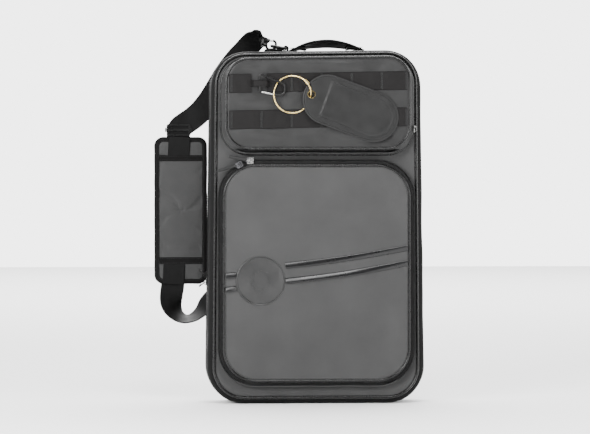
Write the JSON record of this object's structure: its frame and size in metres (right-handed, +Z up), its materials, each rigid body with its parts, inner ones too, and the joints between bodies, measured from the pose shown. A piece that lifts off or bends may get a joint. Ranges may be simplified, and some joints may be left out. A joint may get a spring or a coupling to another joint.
{
  "type": "drum stick bag",
  "caption": "Zip-round rectangular drum stick bag with two raised front pockets, ladder webbing, key ring with leather fob, top handle and padded shoulder strap.",
  "frame": {"origin": "middle of the flat base, on the plane where the two halves zip together", "axes": "+Z up, front face with the pockets towards -Y, +X to the viewer's right from the front"},
  "size_m": [0.3664, 0.135, 0.507],
  "materials": {
    "coated_cloth": "matt coated polyester cloth",
    "gusset_cloth": "dark woven nylon",
    "ladder_webbing": "ribbed polyester webbing",
    "strap_webbing": "smooth nylon webbing",
    "piping": "satin vinyl piping",
    "zip": "nylon coil zip",
    "foam": "closed-cell foam board",
    "black_metal": "gloss black plated zinc",
    "bright_metal": "polished",
    "brass": "pale gold plate",
    "leather": "fine-grain leather",
    "binding": "woven binding tape",
    "moulded": "satin moulded nylon",
    "raised_print": "glossy raised film"
  },
  "bodies": {
    "case": {"rear_gusset": "gusset_cloth", "rear_piping": "piping", "rear_panel": "coated_cloth", "rear_foam_board": "foam", "rear_zip_half": "zip", "stick_sleeves": "gusset_cloth", "handle_webbing": "strap_webbing", "handle_tabs": "strap_webbing", "top_ring_tab": "strap_webbing", "low_ring_tab": "strap_webbing", "top_hook_body": "black_metal", "low_hook_body": "black_metal", "strap_webbing": "strap_webbing"},
    "lid": {"front_gusset": "gusset_cloth", "front_piping": "piping", "front_panel": "coated_cloth", "front_foam_board": "foam", "front_zip_half": "zip", "lower_pocket_wall": "gusset_cloth", "lower_zip_outer": "zip", "upper_pocket_wall": "gusset_cloth", "upper_base_piping": "piping", "upper_zip_outer": "zip"},
    "lower_flap": {"lower_pocket_face": "coated_cloth", "lower_pocket_piping": "piping", "lower_zip_inner": "zip", "round_badge": "raised_print", "raised_stripes": "raised_print"},
    "upper_flap": {"upper_pocket_face": "coated_cloth", "upper_pocket_piping": "piping", "upper_zip_inner": "zip", "ladder_webbing_top": "ladder_webbing", "ladder_webbing_low": "ladder_webbing"},
    "snap_hook": {"snap_hook_body": "black_metal"},
    "snap_gate": {"snap_hook_gate": "bright_metal"},
    "key_ring": {"cable_ring": "brass", "ring_ferrule": "brass"},
    "fob": {"fob_back_leaf": "leather", "fob_front_leaf": "leather", "fob_eyelet": "brass"},
    "main_slider_up": {"main_slider_upper": "black_metal"},
    "main_slider_down": {"main_slider_lower": "black_metal"},
    "main_pull_up": {"main_pull_upper": "black_metal"},
    "main_pull_down": {"main_pull_lower": "black_metal"},
    "pocket_slider_left": {"low_slider_left": "black_metal"},
    "pocket_slider_right": {"low_slider_right": "black_metal"},
    "pocket_pull_left": {"low_pull_left": "black_metal"},
    "pocket_pull_right": {"low_pull_right": "black_metal"},
    "upper_slider": {"up_slider": "black_metal"},
    "upper_pull": {"up_pull": "black_metal"},
    "top_ring": {"top_d_ring": "black_metal"},
    "low_ring": {"low_d_ring": "black_metal"},
    "top_gate": {"top_hook_gate": "black_metal"},
    "low_gate": {"low_hook_gate": "black_metal"},
    "pad": {"shoulder_pad": "coated_cloth", "pad_binding": "binding", "pad_cross_bands": "binding"},
    "adjuster": {"strap_adjuster": "moulded"}
  },
  "joints": [
    {"name": "lid_hinge", "type": "hinge", "parent": "case", "child": "lid", "pos_m": [0.1512, 0, 0.24], "axis": [0, 0, 1], "range_deg": [0, 180]},
    {"name": "lower_flap_hinge", "type": "hinge", "parent": "lid", "child": "lower_flap", "pos_m": [0, -0.044, 0.029], "axis": [1, 0, 0], "range_deg": [0, 80]},
    {"name": "upper_flap_hinge", "type": "hinge", "parent": "lid", "child": "upper_flap", "pos_m": [0, -0.047, 0.3435], "axis": [1, 0, 0], "range_deg": [0, 60]},
    {"name": "snap_hook_swing", "type": "hinge", "parent": "upper_flap", "child": "snap_hook", "pos_m": [-0.078, -0.064, 0.427], "axis": [0, 0.1676, -0.9859], "range_deg": [0, 60]},
    {"name": "snap_gate_open", "type": "hinge", "parent": "snap_hook", "child": "snap_gate", "pos_m": [-0.061, -0.06253, 0.41837], "axis": [0, -0.9859, -0.1676], "range_deg": [0, 16], "stiffness_Nm_per_rad": 0.02, "springref_deg": -17.19},
    {"name": "key_ring_turn", "type": "hinge", "parent": "snap_hook", "child": "key_ring", "pos_m": [-0.034, -0.064, 0.418], "axis": [0, 1, 0], "range_deg": [-2.5, 2.5]},
    {"name": "fob_swing", "type": "hinge", "parent": "key_ring", "child": "fob", "pos_m": [-0.0085, -0.065, 0.418], "axis": [-0.03, 0.9996, 0], "range_deg": [-5, 30]},
    {"name": "main_slider_up_travel", "type": "slide", "parent": "case", "child": "main_slider_up", "axis": [0.0126, 0, 0.9999], "range_m": [0, 0.24]},
    {"name": "main_pull_up_lift", "type": "hinge", "parent": "main_slider_up", "child": "main_pull_up", "pos_m": [-0.14952, 0, 0.17333], "axis": [0, 1, 0], "range_deg": [-30, 30]},
    {"name": "main_slider_down_travel", "type": "slide", "parent": "case", "child": "main_slider_down", "axis": [-0.0126, 0, -0.9999], "range_m": [0, 0.1]},
    {"name": "main_pull_down_lift", "type": "hinge", "parent": "main_slider_down", "child": "main_pull_down", "pos_m": [-0.14964, 0, 0.16373], "axis": [0, 1, 0], "range_deg": [-30, 30]},
    {"name": "pocket_slider_left_travel", "type": "hinge", "parent": "lid", "child": "pocket_slider_left", "pos_m": [-0.082, -0.0448, 0.279], "axis": [0, -1, 0], "range_deg": [0, 60]},
    {"name": "pocket_pull_left_lift", "type": "hinge", "parent": "pocket_slider_left", "child": "pocket_pull_left", "pos_m": [-0.1047, -0.0488, 0.32355], "axis": [-0.2607, 0, 0.9654], "range_deg": [0, 90]},
    {"name": "pocket_slider_right_travel", "type": "slide", "parent": "lid", "child": "pocket_slider_right", "axis": [1, 0, 0], "range_m": [0, 0.16]},
    {"name": "pocket_pull_right_lift", "type": "hinge", "parent": "pocket_slider_right", "child": "pocket_pull_right", "pos_m": [-0.09, -0.0488, 0.329], "axis": [0.1961, 0, 0.9806], "range_deg": [0, 90]},
    {"name": "upper_slider_travel", "type": "slide", "parent": "lid", "child": "upper_slider", "axis": [0, 0, 1], "range_m": [0, 0.055]},
    {"name": "upper_pull_lift", "type": "hinge", "parent": "upper_slider", "child": "upper_pull", "pos_m": [0.1336, -0.047, 0.372], "axis": [0, 1, 0], "range_deg": [-90, 0]},
    {"name": "top_ring_pivot", "type": "hinge", "parent": "case", "child": "top_ring", "pos_m": [-0.0385, 0.0245, 0.48276], "axis": [0, 1, 0], "range_deg": [-2, 5]},
    {"name": "low_ring_pivot", "type": "hinge", "parent": "case", "child": "low_ring", "pos_m": [-0.0745, 0.0503, 0.145], "axis": [0, 0, -1], "range_deg": [-2, 5]},
    {"name": "top_gate_open", "type": "hinge", "parent": "case", "child": "top_gate", "pos_m": [-0.0589, 0.0245, 0.49416], "axis": [0, 1, 0], "range_deg": [0, 15], "stiffness_Nm_per_rad": 0.02, "springref_deg": -17.19},
    {"name": "low_gate_open", "type": "hinge", "parent": "case", "child": "low_gate", "pos_m": [-0.0949, 0.0617, 0.145], "axis": [0, 0, -1], "range_deg": [0, 15], "stiffness_Nm_per_rad": 0.02, "springref_deg": -17.19},
    {"name": "pad_travel", "type": "slide", "parent": "case", "child": "pad", "axis": [0, 0, -1], "range_m": [0, 0.015]},
    {"name": "adjuster_travel", "type": "slide", "parent": "case", "child": "adjuster", "axis": [0, 0, 1], "range_m": [0, 0.004]}
  ]
}
